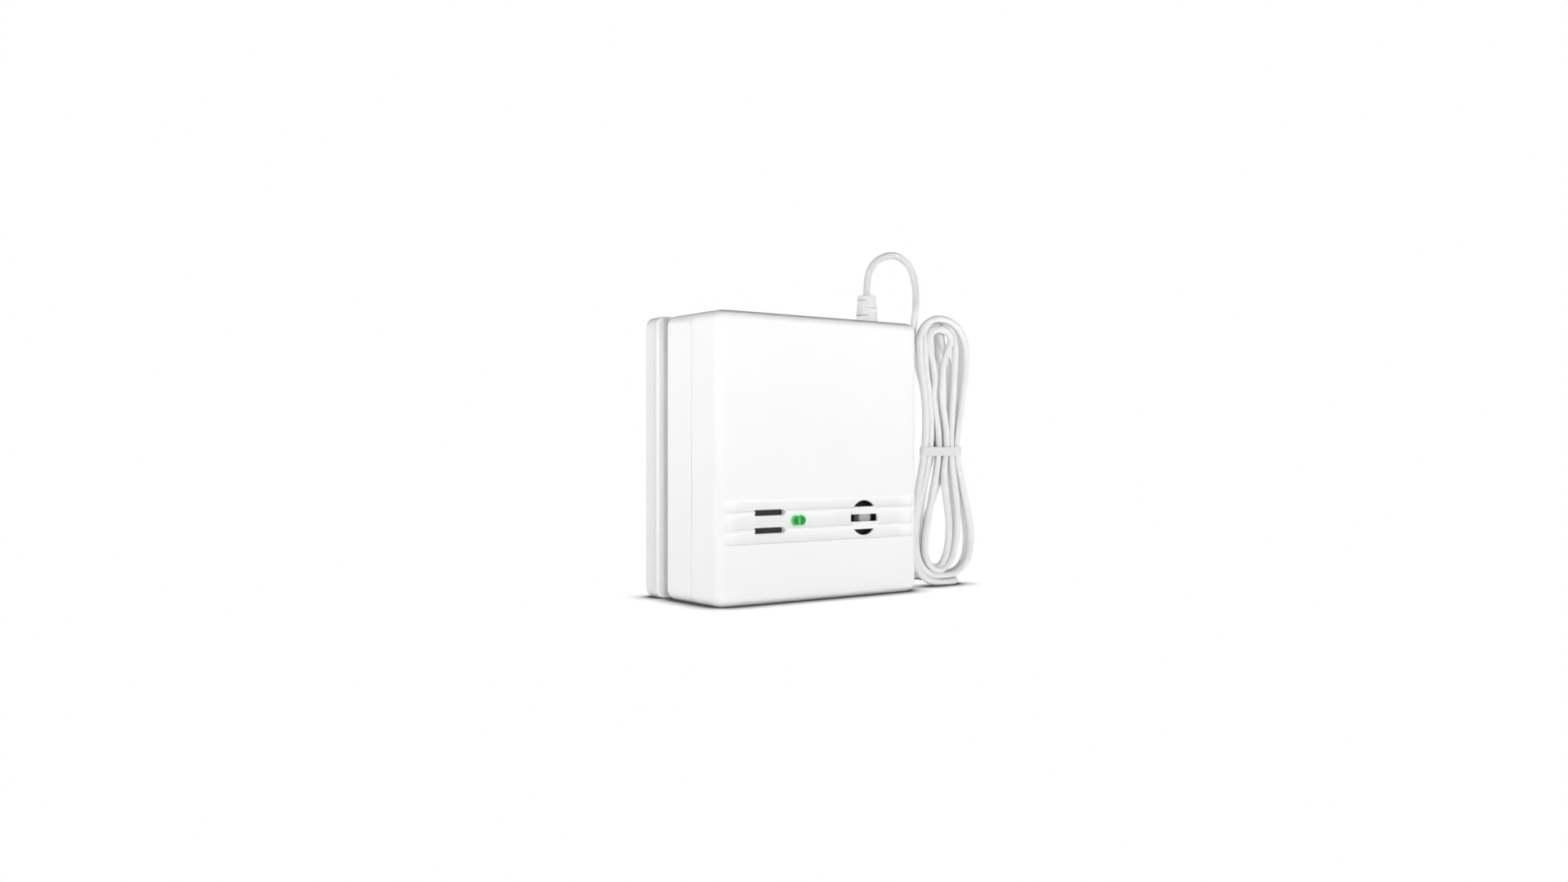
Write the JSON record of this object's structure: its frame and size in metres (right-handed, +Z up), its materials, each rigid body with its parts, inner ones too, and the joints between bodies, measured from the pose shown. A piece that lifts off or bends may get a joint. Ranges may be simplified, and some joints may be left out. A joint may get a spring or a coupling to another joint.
{
  "type": "water leak sensor",
  "caption": "White wall-mounted water leak sensor with barred sound opening, green status window, wall bracket, tied hank of lead and wired floor probe.",
  "frame": {"origin": "on the surface that the case stands on, under the middle of the case and its bracket", "axes": "+X to the right as seen from the front, +Y from the front face towards the wall, +Z up"},
  "size_m": [0.1023, 0.057, 0.1031],
  "materials": {
    "shell_white": "fine satin",
    "bracket_white": "fine satin",
    "clip_plastic": "plain moulded",
    "seal_rubber": "matte",
    "filter_foam": "open foam",
    "steel": "zinc plated",
    "spring_steel": "nickel plated",
    "board_green": "solder mask",
    "window_green": "clear moulded",
    "lamp_pale": "gloss",
    "chip_black": "moulded",
    "sounder_black": "moulded",
    "sounder_grey": "satin",
    "shield_metal": "tinned",
    "copper_wire": "bare",
    "can_metal": "rolled can",
    "terminal_green": "moulded",
    "lead_white": "soft satin",
    "relief_white": "soft satin",
    "core_sleeves": "satin",
    "cell_wrap": "printed sleeve without print",
    "cradle_black": "moulded",
    "contact_metal": "plated"
  },
  "bodies": {
    "root": {"front_cover": "shell_white", "rear_housing": "shell_white", "rim_seal": "seal_rubber", "case_screws": "steel", "vent_filter": "filter_foam", "circuit_board": "board_green", "board_screws": "steel", "light_pipe": "window_green", "status_led": "lamp_pale", "sounder_case": "sounder_black", "sounder_diaphragm": "sounder_grey", "radio_board": "board_green", "radio_shield": "shield_metal", "antenna": "copper_wire", "controller_chip": "chip_black", "reserve_capacitor": "can_metal", "terminal_block": "terminal_green", "terminal_screws": "steel", "strain_relief": "relief_white", "inner_lead": "lead_white", "lead_cores": "core_sleeves", "lead_clamp": "clip_plastic", "clamp_screws": "steel", "battery_cradle": "cradle_black", "battery_lower": "cell_wrap", "battery_upper": "cell_wrap", "battery_link": "spring_steel", "battery_negative": "spring_steel", "battery_positive": "spring_steel", "wall_bracket": "bracket_white", "signal_lead": "lead_white", "cord_hank": "lead_white", "hank_tie": "lead_white", "lead_tail": "lead_white", "probe_cover": "shell_white", "probe_base": "shell_white", "probe_contacts": "contact_metal", "probe_grommet": "relief_white"}
  },
  "joints": []
}
